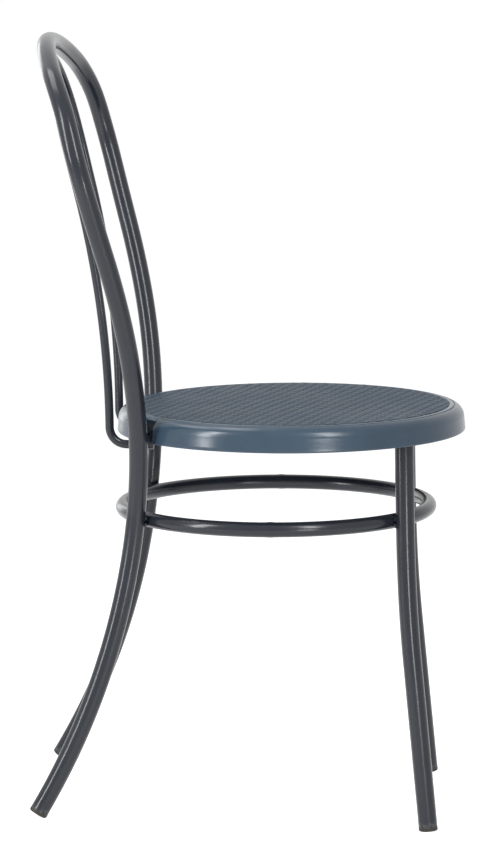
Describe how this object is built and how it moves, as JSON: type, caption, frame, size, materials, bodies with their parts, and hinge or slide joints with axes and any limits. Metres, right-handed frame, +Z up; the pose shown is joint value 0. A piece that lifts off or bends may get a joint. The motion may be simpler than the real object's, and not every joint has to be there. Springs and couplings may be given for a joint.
{
  "type": "metal bistro chair",
  "caption": "Bistro side chair with a bent steel tube frame, hooped back, ring between the legs and a round moulded seat with a woven relief and a deep skirt.",
  "frame": {"origin": "on the floor, under the middle of the chair's overall box", "axes": "+Z up, the chair's front towards -Y, +X towards the sitter's left"},
  "size_m": [0.457, 0.4994, 0.8771],
  "materials": {
    "frame_steel": "satin powder coat, anthracite",
    "seat_plastic": "moulded in slate blue, semi-gloss skirt and rim, woven relief on top",
    "cap_plastic": "dark brown-black, matt",
    "fastener_steel": "zinc plated"
  },
  "bodies": {
    "root": {"hoop_and_rear_legs": "frame_steel", "inner_back_hoop": "frame_steel", "front_leg_left": "frame_steel", "front_leg_right": "frame_steel", "leg_ring": "frame_steel", "seat_support_ring": "frame_steel", "rear_bracket_left": "frame_steel", "rear_bracket_right": "frame_steel", "seat_tab_front_left": "frame_steel", "seat_tab_rear_left": "frame_steel", "seat_tab_rear_right": "frame_steel", "seat_tab_front_right": "frame_steel", "seat_shell": "seat_plastic", "seat_screws": "fastener_steel", "seat_washers": "fastener_steel", "foot_cap_front_left": "cap_plastic", "foot_cap_front_right": "cap_plastic", "foot_cap_rear_left": "cap_plastic", "foot_cap_rear_right": "cap_plastic", "leg_ring_welds": "frame_steel", "hoop_crest_welds": "frame_steel", "support_ring_welds": "frame_steel"}
  },
  "joints": []
}
